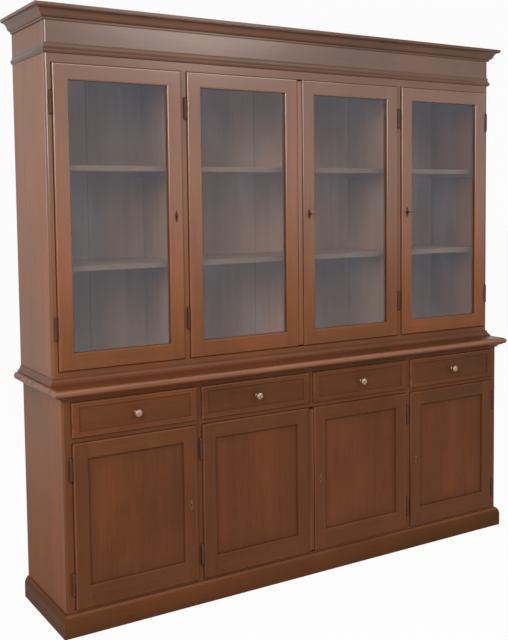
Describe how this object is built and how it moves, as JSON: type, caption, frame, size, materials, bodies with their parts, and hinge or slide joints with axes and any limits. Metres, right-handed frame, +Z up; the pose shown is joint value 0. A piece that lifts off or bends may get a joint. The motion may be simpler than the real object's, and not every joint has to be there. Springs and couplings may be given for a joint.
{
  "type": "dresser with hutch",
  "caption": "Wooden dresser with a glazed hutch: panelled cupboard doors under a row of drawers, a moulded counter top, framed glass doors above, a frieze and a cornice.",
  "frame": {"origin": "floor level, under the middle of the overall box", "axes": "+Z up, the doors and drawers face -Y, +X to the right of a person facing the front"},
  "size_m": [2.218, 0.476, 2.25],
  "materials": {
    "walnut": "satin varnish over brown stain",
    "inner_wood": "thin satin varnish",
    "drawer_wood": "plain sealed wood",
    "clear_glass": "clear polished",
    "knob_brass": "worn satin",
    "dark_bronze": "dark aged bronze"
  },
  "bodies": {
    "case": {"base_sides": "walnut", "base_floor_and_decks": "inner_wood", "base_back": "inner_wood", "base_face_frame": "walnut", "base_partitions": "inner_wood", "base_shelves": "inner_wood", "drawer_guides": "inner_wood", "plinth": "walnut", "counter_top": "walnut", "hutch_sides": "walnut", "hutch_floor_and_tops": "inner_wood", "hutch_back": "inner_wood", "hutch_face_frame": "walnut", "hutch_partitions": "inner_wood", "hutch_shelves": "inner_wood", "shelf_cleats": "inner_wood", "frieze": "walnut", "cornice": "walnut", "hutch_foot_moulding": "walnut", "case_hinges": "dark_bronze"},
    "upper_door_1": {"upper_door_1_frame": "walnut", "upper_door_1_glass": "clear_glass", "upper_door_1_hardware": "dark_bronze"},
    "upper_door_2": {"upper_door_2_frame": "walnut", "upper_door_2_glass": "clear_glass", "upper_door_2_hardware": "dark_bronze"},
    "upper_door_3": {"upper_door_3_frame": "walnut", "upper_door_3_glass": "clear_glass", "upper_door_3_hardware": "dark_bronze"},
    "upper_door_4": {"upper_door_4_frame": "walnut", "upper_door_4_glass": "clear_glass", "upper_door_4_hardware": "dark_bronze"},
    "lower_door_1": {"lower_door_1_leaf": "walnut", "lower_door_1_hardware": "dark_bronze"},
    "lower_door_2": {"lower_door_2_leaf": "walnut", "lower_door_2_hardware": "dark_bronze"},
    "lower_door_3": {"lower_door_3_leaf": "walnut", "lower_door_3_hardware": "dark_bronze"},
    "lower_door_4": {"lower_door_4_leaf": "walnut", "lower_door_4_hardware": "dark_bronze"},
    "drawer_1": {"drawer_1_front": "walnut", "drawer_1_box": "drawer_wood", "drawer_1_knob": "knob_brass"},
    "drawer_2": {"drawer_2_front": "walnut", "drawer_2_box": "drawer_wood", "drawer_2_knob": "knob_brass"},
    "drawer_3": {"drawer_3_front": "walnut", "drawer_3_box": "drawer_wood", "drawer_3_knob": "knob_brass"},
    "drawer_4": {"drawer_4_front": "walnut", "drawer_4_box": "drawer_wood", "drawer_4_knob": "knob_brass"},
    "upper_door_3_key": {"upper_door_3_key": "dark_bronze"},
    "upper_door_3_lock_bolt": {"upper_door_3_lock_bolt": "dark_bronze"},
    "upper_door_4_key": {"upper_door_4_key": "dark_bronze"},
    "upper_door_4_lock_bolt": {"upper_door_4_lock_bolt": "dark_bronze"},
    "upper_door_2_top_bolt": {"upper_door_2_top_bolt": "dark_bronze"},
    "upper_door_2_bottom_bolt": {"upper_door_2_bottom_bolt": "dark_bronze"},
    "lower_door_2_top_bolt": {"lower_door_2_top_bolt": "dark_bronze"},
    "lower_door_2_bottom_bolt": {"lower_door_2_bottom_bolt": "dark_bronze"}
  },
  "joints": [
    {"name": "upper_door_1_hinge", "type": "hinge", "parent": "case", "child": "upper_door_1", "pos_m": [-1.0515, -0.1378, 1.5005], "axis": [0, 0, -1], "range_deg": [0, 100]},
    {"name": "upper_door_2_hinge", "type": "hinge", "parent": "case", "child": "upper_door_2", "pos_m": [-0.5235, -0.1378, 1.5005], "axis": [0, 0, -1], "range_deg": [0, 100]},
    {"name": "upper_door_3_hinge", "type": "hinge", "parent": "case", "child": "upper_door_3", "pos_m": [0.5235, -0.1378, 1.5005], "axis": [0, 0, 1], "range_deg": [0, 100]},
    {"name": "upper_door_4_hinge", "type": "hinge", "parent": "case", "child": "upper_door_4", "pos_m": [1.0515, -0.1378, 1.5005], "axis": [0, 0, 1], "range_deg": [0, 100]},
    {"name": "lower_door_1_hinge", "type": "hinge", "parent": "case", "child": "lower_door_1", "pos_m": [-1.0345, -0.2078, 0.3975], "axis": [0, 0, -1], "range_deg": [0, 100]},
    {"name": "lower_door_2_hinge", "type": "hinge", "parent": "case", "child": "lower_door_2", "pos_m": [-0.515, -0.2078, 0.3975], "axis": [0, 0, -1], "range_deg": [0, 100]},
    {"name": "lower_door_3_hinge", "type": "hinge", "parent": "case", "child": "lower_door_3", "pos_m": [0.515, -0.2078, 0.3975], "axis": [0, 0, 1], "range_deg": [0, 100]},
    {"name": "lower_door_4_hinge", "type": "hinge", "parent": "case", "child": "lower_door_4", "pos_m": [1.0345, -0.2078, 0.3975], "axis": [0, 0, 1], "range_deg": [0, 100]},
    {"name": "drawer_1_slide", "type": "slide", "parent": "case", "child": "drawer_1", "axis": [0, -1, 0], "range_m": [0, 0.27]},
    {"name": "drawer_2_slide", "type": "slide", "parent": "case", "child": "drawer_2", "axis": [0, -1, 0], "range_m": [0, 0.27]},
    {"name": "drawer_3_slide", "type": "slide", "parent": "case", "child": "drawer_3", "axis": [0, -1, 0], "range_m": [0, 0.27]},
    {"name": "drawer_4_slide", "type": "slide", "parent": "case", "child": "drawer_4", "axis": [0, -1, 0], "range_m": [0, 0.27]},
    {"name": "upper_door_3_key_turn", "type": "hinge", "parent": "upper_door_3", "child": "upper_door_3_key", "pos_m": [0.042, -0.132, 1.5005], "axis": [0, 1, 0], "range_deg": [0, 180]},
    {"name": "upper_door_3_lock_bolt_slide", "type": "slide", "parent": "upper_door_3", "child": "upper_door_3_lock_bolt", "axis": [-1, 0, 0], "range_m": [0, 0.0081]},
    {"name": "upper_door_4_key_turn", "type": "hinge", "parent": "upper_door_4", "child": "upper_door_4_key", "pos_m": [0.57, -0.132, 1.5005], "axis": [0, 1, 0], "range_deg": [0, 180]},
    {"name": "upper_door_4_lock_bolt_slide", "type": "slide", "parent": "upper_door_4", "child": "upper_door_4_lock_bolt", "axis": [-1, 0, 0], "range_m": [0, 0.0081]},
    {"name": "upper_door_2_top_bolt_slide", "type": "slide", "parent": "upper_door_2", "child": "upper_door_2_top_bolt", "axis": [0, 0, 1], "range_m": [0, 0.01]},
    {"name": "upper_door_2_bottom_bolt_slide", "type": "slide", "parent": "upper_door_2", "child": "upper_door_2_bottom_bolt", "axis": [0, 0, -1], "range_m": [0, 0.01]},
    {"name": "lower_door_2_top_bolt_slide", "type": "slide", "parent": "lower_door_2", "child": "lower_door_2_top_bolt", "axis": [0, 0, 1], "range_m": [0, 0.01]},
    {"name": "lower_door_2_bottom_bolt_slide", "type": "slide", "parent": "lower_door_2", "child": "lower_door_2_bottom_bolt", "axis": [0, 0, -1], "range_m": [0, 0.01]}
  ],
  "couplings": [
    {"joint": "upper_door_3_lock_bolt_slide", "follows": "upper_door_3_key_turn", "m_per_rad": 0.0025465},
    {"joint": "upper_door_4_lock_bolt_slide", "follows": "upper_door_4_key_turn", "m_per_rad": 0.0025465}
  ]
}
